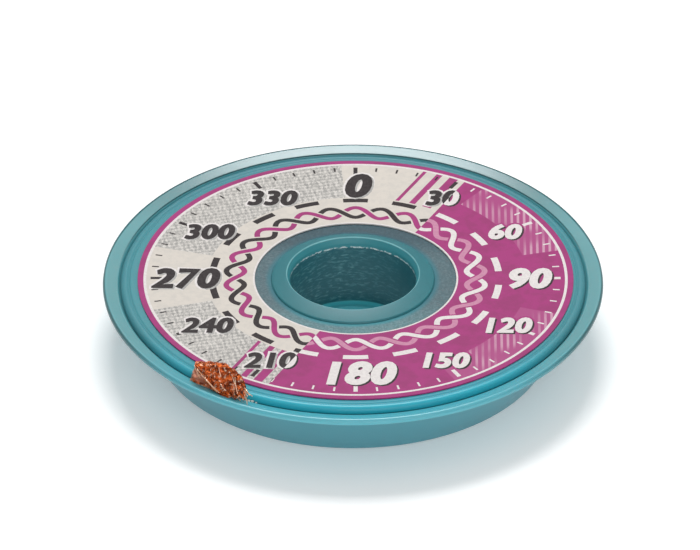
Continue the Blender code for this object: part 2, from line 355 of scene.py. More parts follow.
def plastic_base(name):
    """Translucent satin plastic: clouded colour, faint scuffs and a few specks."""
    material, where, shader = new_material(name)
    clouds = cloud(where, 5 * MM, 4.0)
    colour = mix(between(clouds, 0.35, 0.7), TEAL, TEAL_DEEP)
    fine = cloud(where, 0.35 * MM, 2.0)
    colour = mix(times(fine, 0.05), colour, TEAL_PALE)
    radius, _, _ = round_the_axis(where)
    dull = times(between(radius, *HUB_DULL), 0.12)
    off_rim = past(radius, LID_RADIUS, 0.6, 0)
    outer_edge = past(radius, RIM_RADIUS, -0.2, -0.1)
    dull = calc("ADD", dull, times(calc("ADD", off_rim, outer_edge), 0.1))
    scuffs = cloud(where, 0.9 * MM, 5.0, 0.7)
    rough = calc("ADD", calc("MULTIPLY_ADD", scuffs, 0.04, 0.23), dull)
    set_inputs(shader, {"Roughness": rough, "IOR": 1.5, "Subsurface Weight": 0.4,
                        "Subsurface Radius": (0.25, 0.9, 1.0), "Subsurface Scale": 0.8 * MM})
    bumped(shader, calc("ADD", clouds, times(fine, 0.05)), 0.02 * MM, 0.4)
    return material, where, shader, colour


def case_plastic():
    """The case's plastic: milky in the thin rim, with painted light and shade by side there, deeper in the
    hub, and in the bore the wound braid shows through the wall as a dark band with rows of a weave."""
    material, where, shader, colour = plastic_base("case_plastic")
    radius, angle, height = round_the_axis(where)
    clouds = cloud(where, 4 * MM, 3.0)
    outside = past(radius, BASE_RADIUS, -3, -1)
    on_wall = times(outside, past(height, SEAM_Z, -0.3, -1.2),
                    calc("MULTIPLY_ADD", clouds, 0.4, 0.7))
    colour = mix(on_wall, colour, TEAL_WALL)
    on_rim = times(past(radius, LID_RADIUS, -0.3, 0.3),
                   past(height, SEAM_Z, -0.6, -0.2),
                   calc("MULTIPLY_ADD", clouds, 0.3, 0.8))
    # Painted light and shade by side on the rim
    colour = mix(on_rim, colour, near_to_far(where, RIM_LIT_AND_SHADED, RIM_RADIUS))
    # Painted light on the ramp outside the lid
    on_ramp = between(radius, LID_RADIUS + RIM_LIFT_WIDTH, LID_RADIUS + 0.2 * MM)
    colour = mix(times(on_rim, on_ramp), colour, near_to_far(where, RAMP_PAINTED_LIGHT, RIM_RADIUS))
    # Painted shade: dark lines at the rim's outer edge and at the ramp's top
    lines, shine = rim_lines(where, radius, height)
    colour = mix(times(lines, 0.85), colour, near_to_far(where, PAINTED_SHADE_LINES, RIM_RADIUS))
    colour = mix(between(radius, *HUB_EDGE), colour, TEAL_HUB)
    colour = bore_mouth(colour, radius, height, clouds)
    colour = braid_behind_wall(where, colour, radius, angle, height)
    # The lip at the bore's bottom: painted light, with painted shadow towards its inner edge
    on_lip = times(past(radius, BORE_RADIUS, 0.15, 0.05),
                   past(height, BORE_LIP_THICKNESS, 0.1, 0.02))
    lip_shadow_share = past(radius, BORE_RADIUS, -0.25, -0.75)
    lip = mix(lip_shadow_share, TEAL_LIP_PAINTED_LIGHT, TEAL_LIP_PAINTED_SHADOW)
    set_inputs(shader, {"Base Color": mix(on_lip, colour, lip), "Specular IOR Level": shine})
    return material


def bore_mouth(colour, radius, height, clouds):
    """The bore's mouth: lighter inside its edge, and a broken painted highlight on the edge itself."""
    inside = past(radius, MOUTH_RADIUS, -0.02, -0.1)
    colour = mix(inside, colour, TEAL_MOUTH)
    # Painted highlight: a broken bright line on the mouth's edge
    off_edge = calc("ABSOLUTE", calc("SUBTRACT", radius, MOUTH_RADIUS))
    bright = times(between(off_edge, 0.07 * MM, 0.03 * MM),
                   past(height, COLLAR_TOP, -0.3, -0.15), clouds)
    return mix(bright, colour, TEAL_PAINTED_HIGHLIGHT)


def rim_lines(where, radius, height):
    """Painted shade: thin dark lines at the rim's outer edge and at the top of its ramp, and the shine that
    they leave.
    """
    _, y, _ = parts(where)
    far = between(y, 0.05 * RIM_RADIUS, 0.45 * RIM_RADIUS)
    reach = calc("MULTIPLY_ADD", far, 0.15 * MM, radius)
    outline = past(reach, RIM_RADIUS, -0.26, -0.12)
    top = LID_RADIUS + RIM_LIFT_WIDTH
    seam = times(past(radius, top, -0.08, -0.03),
                 past(radius, top, 0.1, 0.04),
                 past(height, SEAM_Z, -0.3, -0.1), far)
    lines = calc("MAXIMUM", outline, seam)
    shine = calc("MULTIPLY_ADD", times(lines, far), 0.04 - SHINE, SHINE)
    return lines, shine


def braid_behind_wall(where, colour, radius, angle, height):
    """The bore's wall: a dark band with the rows of a weave in it, and painted glints along the band's ragged
    top.
    """
    along = times(angle, BORE_RADIUS)
    ragged = cloud(node("CombineXYZ", {0: along}), 0.55 * MM, 4.0, 0.7)
    edge = calc("SUBTRACT", calc("MULTIPLY_ADD", ragged, 0.34 * MM, BAND_TOP), height)
    inside = times(past(radius, BORE_RADIUS, 0.2, 0.04),
                   past(height, BORE_LIP_THICKNESS, 0.05, 0.2))
    band = times(inside, between(edge, -0.03 * MM, 0.05 * MM))
    rows = node("CombineXYZ", {0: times(along, 0.3), 1: height})
    streaks = between(cloud(rows, 0.22 * MM, 3.0, 0.65, 0.5), 0.48, 0.7)
    patches = between(cloud(where, 3.5 * MM, 1.0), 0.38, 0.58)
    leftwards = between(calc("COSINE", angle), 0.55, -0.25)
    patches = calc("MULTIPLY_ADD", patches, 0.35, calc("MULTIPLY_ADD", leftwards, 0.4, 0.1))
    streaks = times(streaks, patches)
    colour = mix(band, colour, mix(streaks, TEAL_IN_BORE, WEAVE_IN_BORE))
    # Painted glints along the band's ragged top
    spots = cloud(node("CombineXYZ", {0: along, 1: height}), 0.5 * MM, 3.0)
    glint = times(between(edge, -0.14 * MM, -0.04 * MM), between(edge, 0.09 * MM, 0.02 * MM), inside,
                  between(spots, 0.42, 0.56))
    return mix(glint, colour, BAND_PAINTED_GLINT)


def lid_plastic():
    """The lid's plastic, frosted where the label leaves it bare round the hub; painted light and shade by
    side on the frosted ring and on the lid's edge.
    """
    material, where, shader, colour = plastic_base("lid_plastic")
    radius, _, _ = round_the_axis(where)
    speckle = cloud(where, 0.22 * MM, 3.0, 0.7)
    grey = mix(between(speckle, 0.35, 0.75), TEAL_FROSTED, FROST)
    grey = mix(between(radius, *HUB_EDGE_ON_LID), grey, TEAL_HUB)
    # Painted light and shade by side on the frosted ring
    grey = mix(1.0, grey, near_to_far(where, FROST_LIGHT_AND_SHADE, 9 * MM), "MULTIPLY")
    # Painted light and shade by side on the lid's edge band and bead
    band = near_to_far(where, LID_LIT_AND_SHADED, LID_RADIUS)
    bead = near_to_far(where, BEAD_LIT_AND_SHADED, LID_RADIUS)
    edge = mix(between(radius, GROOVE_RADIUS, LID_RADIUS - 0.4 * MM), band, bead)
    edge = mix(times(speckle, 0.12), edge, TEAL_PALE)
    colour = mix(past(radius, LABEL_RADIUS, -1, 0), colour, edge)
    colour = mix(between(radius, *FROST_EDGE), colour, grey)
    set_inputs(shader, {"Base Color": colour, "Specular IOR Level": 0.36})
    return material


# Label

MAGENTA = (0.375, 0.037, 0.19)
HATCHING = (0.62, 0.36, 0.46)
HATCH_PITCH = 0.3 * MM


def arc(radius, angles):
    return [(radius * math.cos(angle), radius * math.sin(angle)) for angle in angles]


def circle(radius):
    return arc(radius, [math.tau * i / TURN_STEPS for i in range(TURN_STEPS)])


def ring(inner, outer):
    return [circle(outer), circle(inner)[::-1]]


def sector(inner, outer, start, end, steps):
    """A closed outline of a piece of a ring, angles in degrees."""
    angles = [math.radians(start + (end - start) * i / steps) for i in range(steps + 1)]
    return arc(outer, angles) + arc(inner, angles[::-1])


# The dial's numbers, in millimetres: heights by degree and for the rest, stroke weight as a share of the
# height, and the edge and the shadow round each
CAP_HEIGHT = 0.7
SLANT = 0.2
NARROWING = 0.86
LETTER_SPACING = 1.08
LARGE_NUMBERS = {0: 3.7, 90: 3.1, 180: 3.5, 270: 3.1}
SMALL_NUMBER = 2.35
STROKE_SHARE = 0.07
HALO = 0.22
SHADOW = (0.16, -0.2)


def numeral(text, height):
    """The closed outlines of a condensed, slanting number centred on the origin, in millimetres."""
    curve = bpy.data.curves.new("numeral", "FONT")
    curve.body = text
    curve.size = height / CAP_HEIGHT
    curve.shear = SLANT
    curve.align_x = "CENTER"
    curve.space_character = LETTER_SPACING
    curve.resolution_u = 4
    curve.fill_mode = "NONE"
    piece = add_object("numeral", curve)
    mesh = final_mesh(piece)
    bpy.data.objects.remove(piece)
    spots = [Vector((v.co.x * NARROWING, v.co.y - height / 2)) for v in mesh.vertices]
    return [[spots[i] for i in loop] for loop in closed_loops(mesh.edges)]


def closed_loops(edges):
    """The corner numbers of each closed run of edges."""
    follow = {edge.vertices[0]: edge.vertices[1] for edge in edges}
    loops = []
    while follow:
        first, here = follow.popitem()
        loop = [first]
        while here != first and here in follow:
            loop.append(here)
            here = follow.pop(here)
        loops.append(loop)
    return loops


def signed_area(loop):
    return sum(a.cross(b) for a, b in zip(loop, loop[1:] + loop[:1])) / 2


def widened(loops, amount):
    """The outlines of a number with its strokes made wider on both sides by the given amount."""
    way = math.copysign(amount, max((signed_area(loop) for loop in loops), key=abs))
    wider = []
    for loop in loops:
        moved_loop = []
        for before, here, after in zip(loop[-1:] + loop[:-1], loop, loop[1:] + loop[:1]):
            if (here - before).length < 1e-6 or (after - here).length < 1e-6:
                continue
            ahead = ((here - before).normalized() + (after - here).normalized())
            bisector = Vector((ahead.y, -ahead.x))
            moved_loop.append(here + bisector * way * min(2 / max(ahead.length_squared, 1e-6), 0.9))
        wider.append(moved_loop)
    return wider


def moved(loops, x, y):
    return [[(px + x, py + y) for px, py in loop] for loop in loops]


def winding(points, loops):
    """How many times the loops go round each point."""
    total = np.zeros(len(points), int)
    px, py = points[:, 0], points[:, 1]
    for loop in loops:
        corners = np.array(loop)
        near = (px > corners[:, 0].min()) & (px < corners[:, 0].max())
        near &= (py > corners[:, 1].min()) & (py < corners[:, 1].max())
        index = np.flatnonzero(near)
        for (ax, ay), (bx, by) in zip(corners, np.roll(corners, -1, axis=0)):
            side = (bx - ax) * (py[index] - ay) - (px[index] - ax) * (by - ay)
            total[index] += (ay <= py[index]) & (by > py[index]) & (side > 0)
            total[index] -= (ay > py[index]) & (by <= py[index]) & (side < 0)
    return total


# Inks, each as the colour on the label's pale side and on its magenta side
INK_NAMES = ["cream", "weave", "magenta", "black", "white", "pinstripe", "silver", "pink"]

# The slanted line between the pale side and the magenta side: its normal, and how far it is off centre
SPLIT_NORMAL = (math.cos(math.radians(-28)), math.sin(math.radians(-28)))
SPLIT_SHIFT = 1.3

# The label's rings, in millimetres from its centre
BORDER = 19.92
HAIRLINE = 19.66
TICK_OUTER = 19.25
SCALE_RING = (13.15, 13.8)
PLAIT_RING = (10.05, 12.65)
FIELD_INNER = 14.0
NUMBER_RADIUS = 16.1
PLAIT_WAVES = 15


def plait_ribbon(strand, crossing, half):
    """One stretch of a strand of the label's plait, from half a crossing before to half a crossing after."""
    middle = sum(PLAIT_RING) / 2
    swing = (PLAIT_RING[1] - PLAIT_RING[0]) / 2 - 0.45
    steps = 12
    near, far = [], []
    for i in range(steps + 1):
        angle = (crossing - 0.5 + i / steps) * math.pi / PLAIT_WAVES
        r = middle + (-1) ** strand * swing * math.sin(PLAIT_WAVES * angle)
        slope = (-1) ** strand * swing * PLAIT_WAVES * math.cos(PLAIT_WAVES * angle)
        outward = Vector((math.cos(angle), math.sin(angle)))
        onward = Vector((-outward.y, outward.x)) * middle + outward * slope
        across = Vector((onward.y, -onward.x)).normalized() * half
        near.append(outward * r - across)
        far.append(outward * r + across)
    return far + near[::-1]


def plait_layers():
    layers = []
    for over in (False, True):
        for half, inks in ((0.44, ("cream", "magenta")), (0.27, None)):
            for strand, own_inks in enumerate((("black", "pink"), ("magenta", "white"))):
                stretches = [plait_ribbon(strand, k, half) for k in range(2 * PLAIT_WAVES)
                             if ((k + strand) % 2 == 0) == over]
                layers.append((*(inks or own_inks), stretches))
    return layers


def label_layers():
    """The print from bottom to top: (ink on the pale side, ink on the magenta side, outlines)."""
    outer = LABEL_RADIUS / MM
    hole = LABEL_HOLE_RADIUS / MM
    layers = [("cream", "magenta", ring(hole - 1, outer + 1))]
    for start, end in ((94, 164), (196, 290)):
        layers.append(("weave", "magenta", [sector(FIELD_INNER, HAIRLINE, start, end, 60)]))
    for start, end in ((14, 52), (-62, -18)):
        layers.append(("weave", "pinstripe", [sector(FIELD_INNER + 2.2, HAIRLINE, start, end, 40)]))
    for i, width in enumerate((0.9, 0.6, 0.35)):
        layers.append(("magenta", "white", [stripe(-1.6 - 1.35 * i, width)]))
    layers += [("cream", "magenta", ring(SCALE_RING[0] - 0.45, FIELD_INNER)),
               ("cream", "magenta", ring(hole, SCALE_RING[0] - 0.45)),
               ("magenta", "magenta", ring(BORDER, outer + 1)),
               ("white", "white", ring(HAIRLINE, BORDER)),
               ("white", "white", ring(hole - 1, hole + 0.17))]
    layers += plait_layers()
    dashes = [sector(*SCALE_RING, start, start + 10, 5) for start in range(5, 365, 20)]
    layers += [("black", "white", dashes), ("black", "white", ticks(6, 0.65, 0.28) + ticks(30, 1.25, 0.6))]
    for degree in range(0, 360, 30):
        layers += dial_number(degree)
    return layers


def ticks(step, length, half_width):
    """The dial's marks, one each so many degrees."""
    return [sector(TICK_OUTER - length, TICK_OUTER, degree - half_width, degree + half_width, 1)
            for degree in range(0, 360, step)]


def dial_number(degree):
    """The three layers of one number: its pale edge, its shadow and its face."""
    size = LARGE_NUMBERS.get(degree, SMALL_NUMBER)
    weight = STROKE_SHARE * size
    angle = math.radians(90 - degree)
    x, y = NUMBER_RADIUS * math.cos(angle), NUMBER_RADIUS * math.sin(angle)
    strokes = numeral(str(degree), size)
    halo = moved(widened(strokes, weight + HALO), x, y)
    shadow = moved(widened(strokes, weight), x + SHADOW[0], y + SHADOW[1])
    face = moved(widened(strokes, weight), x, y)
    return [("white", "magenta", halo), ("silver", "black", shadow), ("black", "white", face)]


def split_distance(x, y):
    """Distance of a point from the label's slanted split, positive on the magenta side."""
    return x * SPLIT_NORMAL[0] + y * SPLIT_NORMAL[1] - SPLIT_SHIFT


def stripe(offset, width):
    """A straight band beside the split."""
    normal = Vector(SPLIT_NORMAL)
    along = Vector((-normal.y, normal.x)) * 30
    near, far = normal * (SPLIT_SHIFT + offset), normal * (SPLIT_SHIFT + offset + width)
    return [tuple(p) for p in (near - along, near + along, far + along, far - along)]


def make_label(inks):
    layers = label_layers()
    outer, hole = LABEL_RADIUS / MM, LABEL_HOLE_RADIUS / MM
    loops = [circle(outer), circle(hole), stripe(0, 30)] + [loop for _, _, group in layers for loop in group]
    points, edges = [], []
    for loop in loops:
        first = len(points)
        points += [Vector(corner) for corner in loop]
        edges += [(first + i, first + (i + 1) % len(loop)) for i in range(len(loop))]
    corners, _, triangles, *_ = geometry.delaunay_2d_cdt(points, edges, [], 0, 1e-4, False)
    flat = np.array([tuple(c) for c in corners])
    triangles = np.array([t[:3] for t in triangles])
    centres = flat[triangles].mean(axis=1)
    distance = np.hypot(centres[:, 0], centres[:, 1])
    kept = (distance < outer * math.cos(math.pi / TURN_STEPS)) & (distance > hole)
    triangles, centres = triangles[kept], centres[kept]
    magenta_side = split_distance(centres[:, 0], centres[:, 1]) > 0
    ink = np.zeros(len(triangles), int)
    for pale, deep, group in layers:
        inside = winding(centres, group) != 0
        ink[inside & ~magenta_side] = INK_NAMES.index(pale)
        ink[inside & magenta_side] = INK_NAMES.index(deep)
    used, renumbered = np.unique(triangles, return_inverse=True)
    places = [(x * MM + LABEL_X, y * MM, LABEL_TOP + label_wave(x, y)) for x, y in flat[used]]
    label = add_mesh("printed_label", places, renumbered.reshape(-1, 3).tolist(), inks)
    label.data.polygons.foreach_set("material_index", ink)
    paper = label.modifiers.new("paper", "SOLIDIFY")
    paper.thickness = LABEL_THICKNESS
    paper.offset = -1
    return applied(label)


def label_wave(x, y):
    """How far the stuck paper stands off a true plane, in metres."""
    return 0.02 * MM * noise.noise(Vector((x * 0.15, y * 0.15, 2.0)))


def ink_material(name, colour, other, size, roughness):
    """A printed ink: its colour with a fine grain, and the paper's faint fibres under it."""
    material, where, shader = new_material("ink_" + name)
    grain = between(cloud(where, size, 3.0, 0.65), 0.38, 0.66)
    shade = mix(grain, colour, other)
    set_inputs(shader, {"Base Color": shade, "Roughness": roughness, "Specular IOR Level": 0.3})
    bumped(shader, cloud(where, 0.25 * MM, 4.0), 0.01 * MM, 0.4)
    return material


def weave_material(name, low, high, pitch, turn, roughness):
    """Print that imitates a woven ground: short slanting flecks in an over-and-under grid."""
    material, where, shader = new_material("ink_" + name)
    grid = stretched(where, (1 / pitch, 1 / pitch, 0.0), turn)
    wobble = node("VectorMath", {0: grid, 1: cloud(where, 0.7 * MM, 2.0)}, operation="ADD")
    checks = node("TexChecker", {"Vector": wobble, "Scale": 1.0}, "Fac")
    fleck = cloud(stretched(where, (1.0, 0.4, 1.0), turn), 0.17 * MM, 2.0, 0.7)
    share = calc("MULTIPLY_ADD", checks, 0.42, times(between(fleck, 0.38, 0.62), 0.58))
    set_inputs(shader, {"Base Color": mix(share, low, high), "Roughness": roughness})
    bumped(shader, share, 0.01 * MM, 0.3)
    return material


def pinstripe_material():
    """Magenta print with fine pale hatching that thins out in clouds."""
    material, where, shader = new_material("ink_pinstripe")
    lines = node("TexWave", {"Vector": where, "Scale": 0.16 / HATCH_PITCH, "Distortion": 0.0}, "Fac",
                 wave_type="BANDS", bands_direction="X")
    clouds = between(cloud(where, 5 * MM, 1.0), 0.4, 0.6)
    share = times(between(lines, 0.5, 0.8), clouds, 0.75)
    set_inputs(shader, {"Base Color": mix(share, MAGENTA, HATCHING), "Roughness": 0.38})
    return material


def label_inks():
    return [
        ink_material("cream", (0.655, 0.605, 0.545), (0.605, 0.565, 0.515), 0.6 * MM, 0.32),
        weave_material("weave", (0.3, 0.29, 0.275), (0.66, 0.63, 0.59), 0.36 * MM, 0.55, 0.3),
        ink_material("magenta", MAGENTA, (0.32, 0.036, 0.16), 1.5 * MM, 0.28),
        ink_material("black", (0.024, 0.017, 0.018), (0.042, 0.033, 0.034), 0.3 * MM, 0.28),
        ink_material("white", (0.76, 0.72, 0.7), (0.68, 0.64, 0.63), 0.3 * MM, 0.3),
        pinstripe_material(),
        ink_material("silver", (0.36, 0.35, 0.34), (0.46, 0.45, 0.43), 0.2 * MM, 0.3),
        ink_material("pink", (0.58, 0.25, 0.38), (0.52, 0.22, 0.34), 0.3 * MM, 0.3),
    ]


# Braid

# Bright and browned copper of the wires, the same darkened as painted shade for the braid's inside, the loose
# wires, painted glints, and painted light on the wires behind the fold
COPPER = ((0.88, 0.19, 0.034), (0.24, 0.036, 0.008))
COPPER_SHADOW = ((0.18, 0.05, 0.02), (0.08, 0.02, 0.01))
PALE_WIRE = ((1.0, 0.7, 0.52), (0.85, 0.42, 0.22))
PAINTED_GLINT = (1.0, 0.78, 0.6)
PAINTED_LIGHT_BEHIND_FOLD = (0.88, 0.46, 0.33)

# The wound braid's ribs and the dark between them
COIL_RIB = (0.88, 0.27, 0.08)
COIL_GROOVE = (0.3, 0.06, 0.02)
COIL_BROWN = (0.35, 0.09, 0.03)
RIB_PITCH = 0.55 * MM


def copper_material(name, tones, glint, roughness):
    """Bare copper wire, patchily browned and wetted by flux, with painted glints, and painted light making it
    paler where it rises behind the fold.
    """
    material, where, shader = new_material(name)
    flux = between(cloud(where, 0.42 * MM, 3.0, 0.65), 0.4, 0.62)
    tone = mix(flux, *tones)
    # Painted glints: spots mixed towards pale copper
    painted_glint_spots = between(cloud(where, 0.3 * MM, 2.0), 0.56, 0.66)
    tone = mix(times(painted_glint_spots, glint), tone, PAINTED_GLINT)
    # Painted light: paler where the wire rises behind the fold
    foot, normal = flag_point(0, 0, 0), (flag_point(0, 0, 1) - flag_point(0, 0, 0)).normalized()
    depth = node("VectorMath", {0: where, 1: normal}, "Value", operation="DOT_PRODUCT")
    behind = between(calc("SUBTRACT", depth, foot.dot(normal)), 0.36 * MM, 0.26 * MM)
    tone = mix(times(behind, 0.7), tone, PAINTED_LIGHT_BEHIND_FOLD)
    rough = calc("MULTIPLY_ADD", flux, 0.25, roughness)
    set_inputs(shader, {"Base Color": tone, "Metallic": 0.9, "Roughness": rough,
                        "Coat Weight": 0.3, "Coat Roughness": 0.1})
    bumped(shader, cloud(where, 0.08 * MM, 2.0), 0.01 * MM, 0.5)
    return material


def coil_material():
    """The wound braid's copper: crossing slanted ribs on its sides and faces."""
    material, where, shader = new_material("copper_coil")
    radius, angle, height = round_the_axis(where)
    along = times(angle, COIL_RADIUS)
    across = calc("ADD", height, radius)
    rib = math.tau / RIB_PITCH
    one_way = calc("SINE", times(calc("ADD", along, across), rib))
    other_way = calc("SINE", times(calc("SUBTRACT", along, across), rib))
    weave = calc("MAXIMUM", one_way, other_way)
    tone = mix(between(weave, -0.2, 0.9), COIL_GROOVE, COIL_RIB)
    browned = between(cloud(where, 1.5 * MM, 3.0), 0.4, 0.65)
    tone = mix(times(browned, 0.5), tone, COIL_BROWN)
    set_inputs(shader, {"Base Color": tone, "Metallic": 0.9, "Roughness": 0.35})
    bumped(shader, weave, 0.05 * MM, 0.8)
    return material


def flag_point(along, up, out):
    """A point by millimetres in the plane that the fold leans in: along the seam, up it and out of it."""
    lean = math.radians(FLAG_LEAN)
    radial, tangent = around(FLAG_AZIMUTH), around(FLAG_AZIMUTH + 90)
    rise = Vector((0.0, 0.0, 1.0))
    foot = radial * (LID_RADIUS + SEAT_GAP) + rise * (SEAM_Z + BRAID_THICKNESS / 2)
    slope = rise * math.cos(lean) - radial * math.sin(lean)
    normal = radial * math.cos(lean) + rise * math.sin(lean)
    return foot + (tangent * along + slope * up + normal * out) * MM


def inside_point(azimuth, share, drop):
    """A point inside the bobbin, between the coil's outer layer and the lid's edge, under the lid."""
    start = COIL_RADIUS - BRAID_THICKNESS
    return around(azimuth, start + share * (LID_RADIUS - start), LID_UNDER - drop * MM)


# Stations of the braid's end, each its left and right edge: inside the bobbin, then on the fold
INSIDE_STATIONS = [
    ((218.0, 0.33, 0.63), (220.5, 0.32, 2.28)),
    ((223.5, 0.56, 0.68), (228.5, 0.52, 1.63)),
    ((226.9, 0.75, 0.48), (233.9, 0.73, 0.68)),
    ((227.6, 0.88, -0.17), (235.8, 0.87, -0.17)),
]
FOLD_STATIONS = [
    ((-2.90, -0.08, 0.02), (0.32, -0.10, 0.02)),
    ((-2.85, 0.80, 0.00), (0.35, 1.20, 0.00)),
    ((-2.82, 1.42, 0.02), (0.50, 2.25, 0.02)),
    ((-2.80, 1.66, 0.30), (0.66, 2.66, 0.30)),
    ((-2.55, 1.50, 0.56), (1.05, 2.62, 0.54)),
    ((-1.80, 1.02, 0.60), (1.85, 2.46, 0.54)),
    ((-0.95, 0.50, 0.60), (2.58, 2.08, 0.48)),
    ((-0.15, 0.04, 0.54), (3.06, 1.52, 0.40)),
    ((0.52, -0.16, 0.46), (3.32, 0.86, 0.32)),
    ((1.15, -0.18, 0.42), (3.42, 0.28, 0.26)),
]


def braid_edges():
    """Both edges of the braid's end, from the coil to the cut."""
    edges = [(inside_point(*left), inside_point(*right)) for left, right in INSIDE_STATIONS]
    return edges + [(flag_point(*left), flag_point(*right)) for left, right in FOLD_STATIONS]


def through(points, steps):
    """A smooth curve through the points, with this many steps between each two."""
    ends = [points[0] * 2 - points[1]] + points + [points[-1] * 2 - points[-2]]
    curve = []
    for a, b, c, d in zip(ends, ends[1:], ends[2:], ends[3:]):
        for i in range(steps):
            t = i / steps
            curve.append(0.5 * (2 * b + (c - a) * t + (2 * a - 5 * b + 4 * c - d) * t**2
                                + (3 * b - a - 3 * c + d) * t**3))
    return curve + [points[-1]]


class Strip:
    """The flat braid's middle surface, asked by distance along it."""

    def __init__(self, edges):
        left = np.array(through([a for a, _ in edges], 12))
        right = np.array(through([b for _, b in edges], 12))
        self.middle = (left + right) / 2
        across = right - left
        self.width = np.linalg.norm(across, axis=1)
        self.across = across / self.width[:, None]
        self.forward = np.gradient(self.middle, axis=0)
        self.forward /= np.linalg.norm(self.forward, axis=1)[:, None]
        normal = np.cross(self.across, self.forward)
        self.normal = normal / np.linalg.norm(normal, axis=1)[:, None]
        steps = np.linalg.norm(np.diff(self.middle, axis=0), axis=1)
        self.distance = np.concatenate([[0.0], np.cumsum(steps)])
        self.length = self.distance[-1]

    def at(self, values, distance):
        return np.stack([np.interp(distance, self.distance, values[:, i]) for i in range(3)], axis=1)

    def point(self, distance, across, out):
        """Points at a distance along, a share of the half width across, and a distance out of the surface."""
        half = np.interp(distance, self.distance, self.width) / 2
        beyond = np.maximum(distance - self.length, 0.0)[:, None] * self.forward[-1]
        return (self.at(self.middle, distance) + self.at(self.across, distance) * (across * half)[:, None]
                + self.at(self.normal, distance) * out[:, None] + beyond)


def round_the_braid(turn):
    """(across as a share of the half width, out as -1 to 1) at a share of the way round the flat tube."""
    angle = math.tau * turn
    across = np.arcsin(np.sin(angle)) / (math.pi / 2)
    out = np.cos(angle)
    return across, np.sign(out) * np.abs(out) ** 0.35


def tube(points, radius, points_out, faces_out):
    """Adds a closed wire of the given radius through the points."""
    sides = WIRE_SIDES
    forward = np.gradient(points, axis=0)
    forward /= np.linalg.norm(forward, axis=1)[:, None]
    side = np.cross(forward, np.array([0.31, 0.17, 0.93]))
    side /= np.linalg.norm(side, axis=1)[:, None]
    over = np.cross(forward, side)
    first = len(points_out)
    rings = [points + radius * (math.cos(math.tau * i / sides) * side + math.sin(math.tau * i / sides) * over)
             for i in range(sides)]
    points_out += np.stack(rings, axis=1).reshape(-1, 3).tolist()
    for step in range(len(points) - 1):
        base = first + step * sides
        for i in range(sides):
            j = (i + 1) % sides
            faces_out.append((base + i, base + j, base + sides + j, base + sides + i))
    last = first + (len(points) - 1) * sides
    faces_out.append(tuple(first + i for i in reversed(range(sides))))
    faces_out.append(tuple(last + i for i in range(sides)))


# The weave: bundles of wires, their turns round the flat tube, how deep they cross and how crushed they lie
CARRIERS = 10
WIRES_PER_CARRIER = 4
WIRE_RADIUS = 0.052 * MM
TURNS_PER_METRE = 0.115 / MM
WEAVE_DEPTH = 0.075 * MM
CRUSH = 0.1 * MM
WIRE_SIDES = 5

# Slow and quick sideways waves of a wire: share of a turn, length, and shift by its place
WIRE_WAVES = ((0.01, 0.55 * MM, 9), (0.007, 0.21 * MM, 23))

# The cut end: how far back the wires begin to stray, and how far they stray
FRAY_LENGTH = 1.5 * MM
FRAY_REACH = 0.15 * MM

LOOSE_WIRE_RADIUS = 0.045 * MM
SPRUNG_WIRES = 7

# Loose strands on the fold, in millimetres: start along and up the folded end, length, and slope in degrees
STRANDS = [(-2.45, 1.62, 1.25, 46), (-2.1, 1.4, 3.0, 27), (-1.2, 0.95, 2.2, 24), (0.15, 2.3, 0.8, 60),
           (1.7, 2.1, 1.1, 52), (2.05, 1.95, 1.5, 62), (0.7, 0.9, 0.9, 30)]


def make_woven_end(material):
    """The braid's loose end: two sets of four-wire carriers that pass over and under each other."""
    strip = Strip(braid_edges())
    chance = random.Random(SEED)
    points, faces = [], []
    for way in (1, -1):
        for carrier in range(CARRIERS):
            slack = chance.uniform(0.8, 1.25)
            for wire in range(WIRES_PER_CARRIER):
                spread = (wire - (WIRES_PER_CARRIER - 1) / 2) * 0.96 / CARRIERS / WIRES_PER_CARRIER
                end = strip.length + chance.uniform(-0.22, 0.15) * MM
                distance = np.arange(0.0, end, 0.11 * MM)
                wires = wire_path(strip, distance, way, carrier / CARRIERS + spread, slack)
                wires += frayed(distance, strip.length, chance)
                tube(wires, WIRE_RADIUS, points, faces)
    return add_mesh("woven_end", points, faces, [material], smooth=True)


def wire_path(strip, distance, way, start, slack):
    """One wire's points, round the flat tube one way, over and under the carriers of the other way."""
    turn = start + way * TURNS_PER_METRE * distance
    for share, length, shift in WIRE_WAVES:
        turn = turn + share * np.sin(distance / length + shift * start)
    across, out = round_the_braid(turn)
    phase = 2 * math.pi * CARRIERS * TURNS_PER_METRE * distance
    lift = way * slack * WEAVE_DEPTH * np.cos(phase) * np.sign(out)
    half_thickness = BRAID_THICKNESS / 2 - 2 * WIRE_RADIUS
    path = strip.point(distance, across, out * half_thickness + lift)
    crush = np.array([noise.noise_vector(Vector(p) / (0.5 * MM)) for p in path])
    return path + crush * CRUSH


def frayed(distance, length, chance):
    """How far a wire strays from its place, more and more towards the cut."""
    near_end = np.clip((distance - length + FRAY_LENGTH) / FRAY_LENGTH, 0, 1.4) ** 2
    stray = np.array([chance.uniform(-1, 1) for _ in range(3)]) * FRAY_REACH
    return near_end[:, None] * stray


